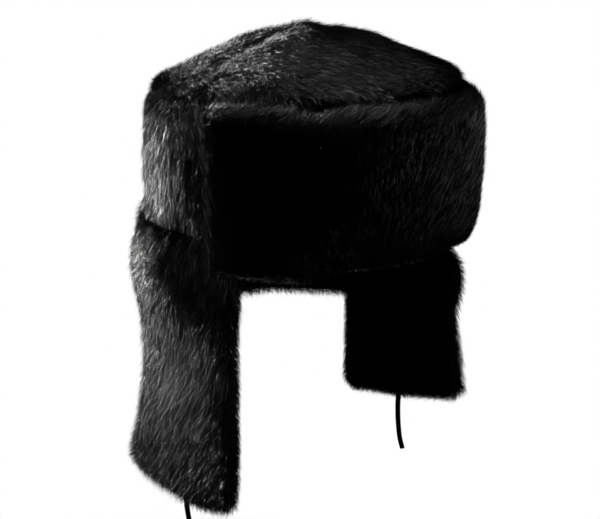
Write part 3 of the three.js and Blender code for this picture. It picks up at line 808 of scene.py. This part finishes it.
def flap_lean(place):
    """The face's hair lies along it, and the rim's and the ends' lies flatter still."""
    ends = ENDS_FLATTER * at_ends(place) * (1 - smooth(place[:, 2], *UPPER_END))
    return FACE_LEAN + RIM_FLATTER * smooth(place[:, 2], *UPPER_FACE) + ends


furred("front_flap", *front_wall(), closed=False, count=112000, comb=flap_comb, lean=flap_lean, seed=37)

# %% [markdown]
# The ear flaps hang free, and the far one turns its inner face to the camera, so both faces
# carry fur. A section is a flat wall with a round lower end, thinned to nothing at both edges.

# %% The walls of the hanging flaps
LOWER_ROUND = 2.5
SEAM_PILE, INNER_SEAM_PILE, INNER_PILE = 2.5, 1.5, 3.6
FREE_FROM, FULL_FROM = 0.2, 0.25


def hanging_wall(place_of, stations, wall, inset_end, edge, length):
    """Down the outside, round the lower end and up the inside, at each place across the flap."""
    end = 1 - inset_end / length
    turn = end - LOWER_ROUND / length
    rows = np.array([
        # share of the thickness, place down the flap, pile
        (1, 0.0, 1), (1, 0.12, 1), (1, 0.3, 1), (1, 0.6, 1), (1, turn, 1), (0.75, end, 1),
        (0.25, end, 1), (0, turn, 0.8), (0, 0.6, 0.8), (0, 0.3, 0.8), (0, 0.12, 0.7), (0, 0.0, 0.5),
    ])
    loop = along_loop(rows[None] + np.zeros((len(stations), 1, 1)), [3, 4, 7, 9, 2, 2, 2, 9, 7, 4, 3, 2])
    share, across, pile = loop[..., 0], loop[..., 1], loop[..., 2]
    free = smooth(across, 0, FREE_FROM)
    outer = -mix(SEAM_PILE, PILE_HEIGHT, free)
    thickness = mix(SEAM_WALL, wall, smooth(across, 0, FULL_FROM))
    inner = -(thickness - mix(INNER_SEAM_PILE, INNER_PILE, free))
    depth = (outer + inner) / 2 + (share - 0.5) * (outer - inner) * edge(stations[:, None], across)
    return place_of(stations[:, None], across, depth), pile


# %% The ear flaps
EAR_INSET, EAR_EDGE, EAR_STATIONS = 2.4, 4.0, 60
EAR_END_INSET, EAR_LENGTH = 4.5, 175
EAR_END_STEPS = np.array([0, 0.12, 0.45, 1, 1.8, 2.8, 4])
JOINED_BELOW, JOINED_ABOVE, TO_NAPE_FROM = 4, 6, 0.85


def ear_wall(flap):
    """The flap's wall, round at its front edge and at the part of its back edge that hangs free."""
    width = flap[2][1] - flap[1][1]
    ends = EAR_END_STEPS / width
    inner = np.linspace(EAR_INSET / width, 1 - EAR_INSET / width, EAR_STATIONS)
    stations = np.concatenate([inner[0] + ends, inner[3:-3], (inner[-1] - ends)[::-1]])

    def joined(place, across):
        """1 where the back edge meets the nape flap, and 0 below it and on the front half."""
        height = mix(SEAM_HEIGHT, flap[2][2], across)
        meets = smooth(height, NAPE_BOTTOM - JOINED_BELOW, NAPE_BOTTOM + JOINED_ABOVE)
        return np.where(place > 0.5, meets, 0)

    def edge(place, across):
        """The share of the thickness: a quarter of a circle at a free edge."""
        inside = np.minimum(place - stations[0], stations[-1] - place) * width
        return mix(quarter_round(inside / EAR_EDGE), 1, joined(place, across)).clip(THINNEST)

    def to_nape(place, across, depth):
        """The flap's places, let out at the back as far as the nape flap where the two are joined."""
        gap = (1 - stations[-1]) * smooth(place, TO_NAPE_FROM, stations[-1]) * joined(place, across)
        return ear_place(flap, place + gap, across, depth)

    return hanging_wall(to_nape, stations, EAR_WALL, EAR_END_INSET, edge, EAR_LENGTH)


# %% How the ear flaps' hair lies
FRONT_EDGE_HIGH, FRONT_EDGE_LOW, FRONT_EDGE_DROPS = -44, -62, (-10, 60)
FRONT_EDGE_REACH, BACK_EDGE = 14, (48, 62)
PAST_EDGE = 0.9


def hanging_comb(place):
    """Down, and out past the two upright edges within about 14 mm of them."""
    front = mix(FRONT_EDGE_HIGH, FRONT_EDGE_LOW, smooth(-place[:, 2], *FRONT_EDGE_DROPS))
    at_front = 1 - smooth(place[:, 1] - front, 0, FRONT_EDGE_REACH)
    return points(0, PAST_EDGE * smooth(place[:, 1], *BACK_EDGE) - PAST_EDGE * at_front, -1)


def hanging_lean(place):
    """Hanging hair lies along the flap, the same everywhere."""
    return HANG_LEAN


for name, seed, count in (("right", 41, 108000), ("left", 53, 86000)):
    furred(f"ear_flap_{name}", *ear_wall(EAR_FLAPS[name]), closed=False, count=count,
           comb=hanging_comb, lean=hanging_lean, seed=seed)

# %% The nape flap
NAPE_STATIONS, NAPE_END_INSET, NAPE_LENGTH = 90, 4.2, SEAM_HEIGHT - NAPE_BOTTOM


def full_thickness(place, across):
    """The nape flap has no free edge at its sides, so it is 1 all over."""
    return 1 + 0 * place * across


places = np.linspace(-1, 1, NAPE_STATIONS)
nape = hanging_wall(nape_place, places, NAPE_WALL, NAPE_END_INSET, full_thickness, NAPE_LENGTH)
furred("nape_flap", *nape, closed=False, count=56000, comb=wall_comb, lean=hanging_lean, seed=67)

# %% [markdown]
# Finishes are made of nodes. A small class lets Python's own signs work on a node's number, and
# one method makes every other node: its settings first, then its sockets' values or links.

# %% Numbers that are nodes
class Number:
    """A number at a node's socket. Python's signs on it make the Math node for their result."""

    def __init__(self, finish, socket):
        self.finish = finish
        self.socket = socket

    def worked_out(self, sign, first, second):
        """The Math node of this operation on two numbers."""
        return self.finish.number("ShaderNodeMath", {"operation": sign}, {0: first, 1: second})

    def __add__(self, other):
        return self.worked_out("ADD", self, other)

    def __sub__(self, other):
        return self.worked_out("SUBTRACT", self, other)

    def __rsub__(self, other):
        return self.worked_out("SUBTRACT", other, self)

    def __mul__(self, other):
        return self.worked_out("MULTIPLY", self, other)

    def __pow__(self, other):
        return self.worked_out("POWER", self, other)

    __radd__ = __add__
    __rmul__ = __mul__


class Finish:
    """The nodes of a material or of the world."""

    def __init__(self, owner):
        owner.use_nodes = True
        self.owner = owner
        self.tree = owner.node_tree
        self.surface = self.tree.nodes.get("Principled BSDF")

    def feed(self, socket, value):
        """A link where the value is a number or a socket, and the socket's own value otherwise."""
        value = value.socket if isinstance(value, Number) else value
        if isinstance(value, bpy.types.NodeSocket):
            self.tree.links.new(value, socket)
        else:
            socket.default_value = value

    def node(self, kind, settings, sockets):
        """A node of this type."""
        made = self.tree.nodes.new(kind)
        for name, value in settings.items():
            setattr(made, name, value)
        for key, value in sockets.items():
            self.feed(made.inputs[key], value)
        return made

    def number(self, kind, settings, sockets):
        """A node's first output, as a number."""
        return Number(self, self.node(kind, settings, sockets).outputs[0])

    def place(self):
        """Object coordinates, which are the frame's own metres, because every piece sits at the origin."""
        return self.node("ShaderNodeTexCoord", {}, {}).outputs["Object"]

    def chance(self, place, scale, detail=2.0):
        """Noise from 0 to 1 over these coordinates."""
        sockets = {"Vector": place, "Scale": scale, "Detail": detail}
        return self.number("ShaderNodeTexNoise", {}, sockets)

    def blend(self, share, first, second):
        """From the first colour at 0 to the second at 1."""
        return self.node("ShaderNodeMix", {"data_type": "RGBA"}, {0: share, 6: first, 7: second}).outputs[2]


def grey(value, tint=1.0):
    """A neutral colour whose blue is multiplied by tint."""
    return (value, value, value * tint, 1)


def dress(pieces, finish):
    """Gives these pieces their finish."""
    for obj in pieces:
        obj.data.materials.append(finish.owner)
    print(finish.owner.name, "on", [obj.name for obj in pieces])


# %% [markdown]
# Dyed black fur isn't one black. Each hair has a tone of its own, whole patches took the dye a little
# less, and some are glossier than others. Each hair's root is painted darker than its tip, as painted
# shade deep in the pile. The tone runs across the pile's UV map, and the place along the hair runs up it.

# %% The fur
fur = Finish(bpy.data.materials.new("black_fur"))
hair_map = fur.node("ShaderNodeUVMap", {"uv_map": "OFBake"}, {}).outputs[0]
hair = fur.node("ShaderNodeSeparateXYZ", {}, {0: hair_map})
hair_tone = Number(fur, hair.outputs[0])
along_hair = Number(fur, hair.outputs[1])
patches = fur.chance(fur.place(), 38.0)
gloss = fur.chance(fur.place(), 150.0)
tone = hair_tone * 0.9 + patches * 0.4 - 0.14
# The root end of each hair gets painted shade: its colour darkens towards the backing.
painted_root_shade, darkest, lightest = grey(0.0015), grey(0.002), grey(0.075, 1.03)
dyed = fur.blend(tone ** 1.6, darkest, lightest)
fur.feed(fur.surface.inputs["Base Color"], fur.blend(along_hair ** 0.7, painted_root_shade, dyed))
fur.feed(fur.surface.inputs["Roughness"], 0.36 + 0.3 * gloss)
dress(piles, fur)

# %% [markdown]
# Under the pile the backing is a dull black hide with a short nap, which shows only inside the
# crown and where the fur parts.

# %% The backing
hide = Finish(bpy.data.materials.new("black_backing"))
nap = hide.chance(hide.place(), 900.0, 3.0)
worn = hide.chance(hide.place(), 30.0)
dull_black, dull_grey = grey(0.002), grey(0.009)
hide.feed(hide.surface.inputs["Base Color"], hide.blend(worn * nap, dull_black, dull_grey))
hide.feed(hide.surface.inputs["Roughness"], 0.75 + 0.2 * nap)
napped = hide.node("ShaderNodeBump", {}, {"Strength": 0.4, "Distance": 0.0004, "Height": nap})
hide.feed(hide.surface.inputs["Normal"], napped.outputs[0])
dress(backings, hide)

# %% [markdown]
# The ties are braided from soft black yarn. The strands are in the mesh, and the yarn's fibres
# are fine noise stretched along the tie.

# %% The braid
yarn = Finish(bpy.data.materials.new("black_braid"))
long_ways = {"Vector": yarn.place(), "Scale": (1.0, 1.0, 0.25)}
stretched = yarn.node("ShaderNodeMapping", {}, long_ways).outputs[0]
fibres = yarn.chance(stretched, 2600.0, 3.0)
yarn.feed(yarn.surface.inputs["Base Color"], yarn.blend(fibres, dull_black, dull_grey))
yarn.feed(yarn.surface.inputs["Roughness"], 0.7 + 0.25 * fibres)
fibrous = yarn.node("ShaderNodeBump", {}, {"Strength": 0.5, "Distance": 0.0002, "Height": fibres})
yarn.feed(yarn.surface.inputs["Normal"], fibrous.outputs[0])
dress(ties, yarn)

# %% [markdown]
# Black fur on a white ground needs two kinds of light. What the camera sees behind the hat is
# plain white, but if that white also lit the hat, the fur would go grey all over. So the floor
# and the world are white to the camera's own rays alone, and nearly dark to the others.

# %% The floor and the world
FLOOR_HEIGHT = -900
FLOOR_REACH = 6000
FILL = 0.012


def seen_and_lit(finish, lit, seen):
    """What the camera sees directly is the second shader, and what lights the hat is the first."""
    rays = finish.node("ShaderNodeLightPath", {}, {}).outputs["Is Camera Ray"]
    shader = finish.node("ShaderNodeMixShader", {}, {0: rays, 1: lit.outputs[0], 2: seen.outputs[0]})
    output = next(node for node in finish.tree.nodes if node.type.startswith("OUTPUT"))
    finish.feed(output.inputs["Surface"], shader.outputs[0])


ground = FLOOR_REACH * np.array([(-1.0, -1, 0), (1, -1, 0), (1, 1, 0), (-1, 1, 0)]) + (0, 0, FLOOR_HEIGHT)
floor = piece_from("floor", ground, [0, 1, 2, 3], [4])
paper = Finish(bpy.data.materials.new("paper"))
seen_and_lit(paper, paper.node("ShaderNodeBsdfDiffuse", {}, {"Color": grey(0.05)}),
             paper.node("ShaderNodeEmission", {}, {"Color": grey(1.0)}))
floor.data.materials.append(paper.owner)

world = bpy.data.worlds.new("studio")
bpy.context.scene.world = world
studio = Finish(world)
seen_and_lit(studio, studio.node("ShaderNodeBackground", {}, {"Color": grey(1.0), "Strength": FILL}),
             studio.node("ShaderNodeBackground", {}, {"Color": grey(1.0)}))
bpy.context.scene.view_settings.view_transform = "Standard"

# %% [markdown]
# The key light stands low behind the wearer's right shoulder and grazes the ear flap and the
# wall. A weak and narrow one above draws the crown's top and the front flap's rim, and another
# the cheek of the near ear flap. A wide one low on the far side lifts the end of the front flap,
# and one behind the left shoulder keeps the hat's form readable from there.

# %% The lights
LIGHTS = {
    # azimuth, elevation, distance m, size m, power W, beam, what it aims at in mm
    "key": (-172, 8, 1.6, 0.24, 0.86, 11, (-91, 0, 28)),
    "above": (-138, 50, 1.4, 0.08, 0.036, 6.4, (-50, -78, 103)),
    "cheek": (-134, -4, 1.4, 0.06, 0.022, 6, (-102, 0, -32)),
    "low_side": (60, -32, 1.5, 0.5, 8, 180, (0, 0, 30)),
    "behind_left": (150, -5, 1.6, 0.4, 1.0, 30, (20, 0, 0)),
}
for name, (azimuth, elevation, distance, size, power, beam, aim) in LIGHTS.items():
    data = bpy.data.lights.new(name, "AREA")
    data.size = size
    data.energy = power
    data.spread = math.radians(beam)
    light = bpy.data.objects.new(name, data)
    toward = direction(azimuth, elevation)
    light.location = distance * toward + MM * Vector(aim)
    light.rotation_euler = toward.to_track_quat("Z", "Y").to_euler()
    bpy.context.collection.objects.link(light)

# %% [markdown]
# Under the nape the key would shine through between the ear flaps and on the far one's inner
# face, which is black in the photo. A photographer stops such a spill with a flag, a black card
# on a stand, and so does this studio. The camera's own rays pass through it.

# %% The flag
FLAG_DISTANCE, FLAG_TOP, FLAG_FOOT = 230, -42, -300
FLAG_SIDES = (-85, 125)
low, high = FLAG_SIDES
card_corners = np.array([(low, 0, FLAG_FOOT), (high, 0, FLAG_FOOT), (high, 0, FLAG_TOP), (low, 0, FLAG_TOP)])
flag = piece_from("flag", card_corners + (0, FLAG_DISTANCE, 0), [0, 1, 2, 3], [4])
flag.visible_camera = False
card = Finish(bpy.data.materials.new("black_card"))
card.feed(card.surface.inputs["Base Color"], grey(0.01))
flag.data.materials.append(card.owner)
